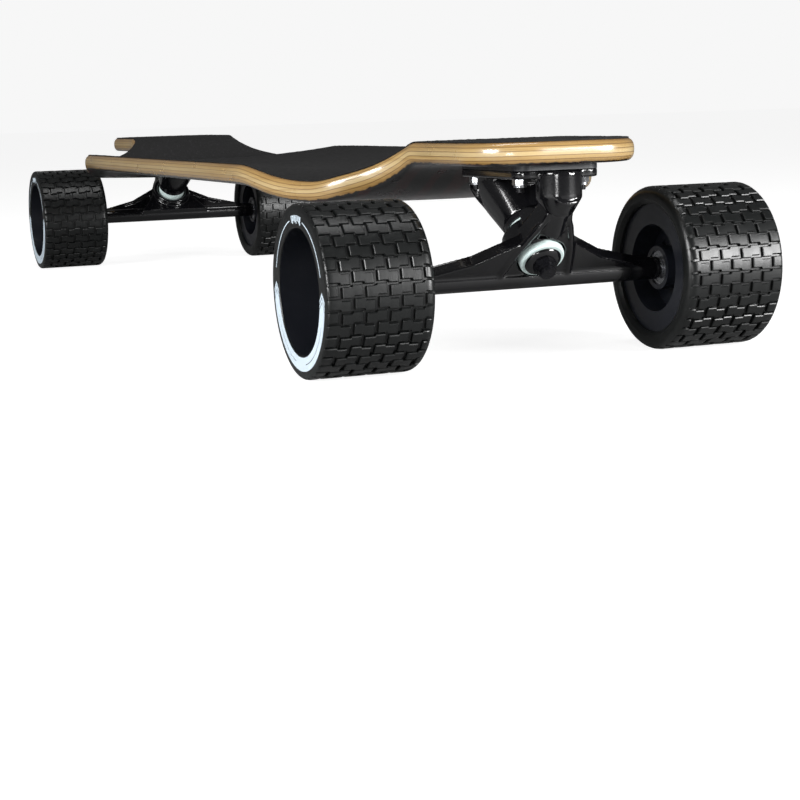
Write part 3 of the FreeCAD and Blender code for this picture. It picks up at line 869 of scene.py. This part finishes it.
def castPiece(node, body, material, ribbedEnd=None):
    source = nodes[node].data
    verts = [v.co.copy() for v in source.vertices]
    faces = [tuple(p.vertices) for p in source.polygons]
    if ribbedEnd:
        addRibs(ribbedEnd, verts, faces)
    piece = newObject(node + "_cast", verts, faces, None, material)
    remesh = piece.modifiers.new("remesh", "REMESH")
    remesh.mode = "VOXEL"
    remesh.voxel_size = castValues["voxel"]
    smooth = piece.modifiers.new("smooth", "SMOOTH")
    smooth.factor = 0.5
    smooth.iterations = castValues["smoothing"]
    applyModifiers(piece)
    mesh = piece.data
    mesh.polygons.foreach_set("use_smooth", [True] * len(mesh.polygons))
    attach(piece, body)
    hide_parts(node)
    return piece


for end in ends:
    castPiece(end + "_hanger", end + "_hanger", made["castPaint"], end)
    castPiece(end + "_baseplate", "board", made["castPaint"])
print("castings softened")


# bushings, which sit between the board and the hanger

bushingLook = {"colour": (0.66, 0.78, 0.76), "roughness": 0.33, "unevenness": 0.08, "scale": 90.0,
               "specular": 0.5, "bump": 0.1, "dust": 0.25, "dustColour": (0.35, 0.36, 0.34)}


def buildBushingMaterial():
    material, tree, shader, wear = startMaterial("bushingUrethane", bushingLook)[:4]
    tone = mixColour(tree, wear.outputs["Dust"], bushingLook["colour"], bushingLook["dustColour"])
    tree.links.new(tone, shader.inputs["Base Color"])
    shader.inputs["Subsurface Weight"].default_value = 0.25
    shader.inputs["Subsurface Radius"].default_value = (0.004, 0.004, 0.004)
    return material


bushingUrethane = buildBushingMaterial()
bushingValues = {
    # (radius, height along the kingpin) in mm; heights count up and inboard from the steering axis
    "roadside": [(4.9, 4.0), (12.8, 4.0), (13.8, 3.2), (14.2, 1.6), (14.3, -2.0), (14.3, -5.2),
                 (14.0, -6.4), (13.2, -7.0), (4.9, -7.0)],
    "boardside": [(4.9, 22.0), (12.4, 22.0), (13.1, 21.2), (13.9, 17.0), (14.0, 15.5), (13.9, 14.0),
                  (13.1, 9.8), (12.4, 9.0), (4.9, 9.0)],
    "around": 64, "step": 1.2,
}


def turnedPiece(end, points, around, step):
    # a closed profile of (radius, height) turned about the kingpin
    origin, along, rise = kingpinFrame(end)
    across = Vector((0, 1, 0))
    profile = []
    for (r0, h0), (r1, h1) in zip(points, points[1:] + points[:1]):
        steps = max(1, int(max(abs(r1 - r0), abs(h1 - h0)) / step))
        profile.extend((r0 + (r1 - r0) * k / steps, h0 + (h1 - h0) * k / steps) for k in range(steps))
    verts, faces = [], []
    for r, h in profile:
        for i in range(around):
            angle = 2 * math.pi * i / around
            out = along * (r * math.cos(angle)) + across * (r * math.sin(angle))
            verts.append(origin + (out + rise * h) * mm)
    count = len(profile)
    for k in range(count):
        n = (k + 1) % count
        for i in range(around):
            j = (i + 1) % around
            faces.append((k * around + i, k * around + j, n * around + j, n * around + i))
    return verts, faces


def buildBushing(end, kind):
    points = bushingValues[kind]
    verts, faces = turnedPiece(end, points, bushingValues["around"], bushingValues["step"])
    name = end + "_" + kind + "_urethane"
    bushing = newObject(name, verts, faces, None, bushingUrethane, sharpAngle=35, turnOutwards=True)
    origin, along, rise = kingpinFrame(end)
    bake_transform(bushing)
    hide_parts(end + "_" + kind + "_bushing")
    return bushing


washerValues = {
    "profile": [(4.9, -7.0), (11.4, -7.0), (11.7, -7.5), (11.4, -8.3), (10.4, -9.2), (8.6, -9.9), (6.8, -10.1),
                (4.9, -10.1)],
    "around": 64, "step": 0.8,
}


def buildWasher(end):
    verts, faces = turnedPiece(end, washerValues["profile"], washerValues["around"], washerValues["step"])
    name = end + "_domedWasher"
    washer = newObject(name, verts, faces, "board", made["castPaint"], sharpAngle=50,
                       turnOutwards=True)
    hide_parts(end + "_roadside_washer")
    return washer


for end in ends:
    for kind in ("roadside", "boardside"):
        buildBushing(end, kind)
    buildWasher(end)
print("bushings and washers built")


# finishes of the CAD pieces that show as they are

cadFinishes = {
    "riser_pad": "riserRubber", "truck_bolts": "blackSteel", "lock_nuts": "zincSteel",
    "pivot_cup": "cupPlastic", "kingpin": "blackSteel", "kingpin_nut": "blackSteel",
    # the axle and the hub's inner steel parts take the darkened steel, painted shade for the shaded hub, while
    # the lock nuts keep the brighter zinc
    "boardside_washer": "blackSteel", "roadside_washer": "castPaint", "axle": "shadedBearingSteel",
    "core": "corePlastic", "bearing_outer_races": "shadedBearingSteel", "bearing_inner_races": "shadedBearingSteel",
    "bearing_balls": "shadedBearingSteel", "bearing_spacer": "shadedBearingSteel", "speed_washers": "shadedBearingSteel",
    "axle_nut": "blackSteel",
}
for name, node in nodes.items():
    for ending, finish in cadFinishes.items():
        if name.endswith(ending):
            node.data.materials.clear()
            node.data.materials.append(made[finish])
print("finishes given")


# floor, light and camera

stageValues = {"floorColour": (0.34, 0.34, 0.34), "floorSize": 60.0, "floorGlow": 0.86,
               "fillStrength": 0.12, "backStrength": 0.93}


def buildStage():
    # a pale, softly lit table, with an even white behind it and only a weak fill from all round
    sv = stageValues
    mesh = bpy.data.meshes.new("floor")
    h = sv["floorSize"] / 2
    mesh.from_pydata([(-h, -h, 0), (h, -h, 0), (h, h, 0), (-h, h, 0)], [], [(0, 1, 2, 3)])
    floor = bpy.data.objects.new("floor", mesh)
    bpy.context.scene.collection.objects.link(floor)
    material, tree, shader = startMaterial("paleFloor", {
        "colour": sv["floorColour"], "roughness": 0.7, "scale": 6.0, "bump": 0.02})[:3]
    shader.inputs["Emission Color"].default_value = (1, 1, 1, 1)
    rays = addNode(tree, "ShaderNodeLightPath")
    glow = maths(tree, "MULTIPLY", rays.outputs["Is Camera Ray"], sv["floorGlow"])
    tree.links.new(glow, shader.inputs["Emission Strength"])
    mesh.materials.append(material)
    world = bpy.data.worlds.new("studio")
    bpy.context.scene.world = world
    world.use_nodes = True
    tree = world.node_tree
    background = tree.nodes["Background"]
    background.inputs[0].default_value = (1, 1, 1, 1)
    rays = addNode(tree, "ShaderNodeLightPath")
    spread = sv["backStrength"] - sv["fillStrength"]
    seen = maths(tree, "MULTIPLY_ADD", rays.outputs["Is Camera Ray"], spread, sv["fillStrength"])
    tree.links.new(seen, background.inputs[1])


lights = {
    # name: (place, aim, width, height, watts)
    "keySoftbox": ((2.0, 1.35, 0.55), (0.4, 0.05, 0.06), 0.8, 0.6, 72),
    "sideSoftbox": ((1.2, -2.1, 0.75), (0.3, 0, 0.07), 1.0, 0.7, 62),
    "topStrip": ((0.3, 0.0, 2.1), (0.3, 0, 0.1), 0.3, 1.5, 14),
    "lowLamp": ((1.5, -0.72, 0.14), (0.46, -0.12, 0.06), 0.25, 0.12, 2.2),
}


def buildLights():
    for name, (place, aim, width, height, watts) in lights.items():
        data = bpy.data.lights.new(name, "AREA")
        data.shape = "RECTANGLE"
        data.size = width
        data.size_y = height
        data.energy = watts
        lamp = bpy.data.objects.new(name, data)
        lamp.location = place
        lamp.rotation_euler = (Vector(aim) - Vector(place)).to_track_quat("-Z", "Y").to_euler()
        bpy.context.scene.collection.objects.link(lamp)


cameraValues = {
    "place": (1.4153, -0.4615, 0.1556), "yaw": 158.795, "pitch": -9.571, "roll": -1.724,
    "lens": 76.59, "sensor": 36.0,
}


def buildCamera():
    cv = cameraValues
    yaw, pitch, roll = (math.radians(cv[k]) for k in ("yaw", "pitch", "roll"))
    forward = Vector((math.cos(yaw) * math.cos(pitch), math.sin(yaw) * math.cos(pitch), math.sin(pitch)))
    level = Vector((math.sin(yaw), -math.cos(yaw), 0))
    above = level.cross(forward)
    right = level * math.cos(roll) + above * math.sin(roll)
    over = above * math.cos(roll) - level * math.sin(roll)
    data = bpy.data.cameras.new("camera")
    data.lens = cv["lens"]
    data.sensor_width = cv["sensor"]
    data.clip_start = 0.01
    camera = bpy.data.objects.new("camera", data)
    bpy.context.scene.collection.objects.link(camera)
    matrix = camera.matrix_world.copy()
    for row in range(3):
        matrix[row][0] = right[row]
        matrix[row][1] = over[row]
        matrix[row][2] = -forward[row]
        matrix[row][3] = cv["place"][row]
    camera.matrix_world = matrix
    bpy.context.scene.camera = camera


buildStage()
buildLights()
buildCamera()
bpy.context.scene.view_settings.view_transform = "Standard"
print("stage, lights and camera ready")
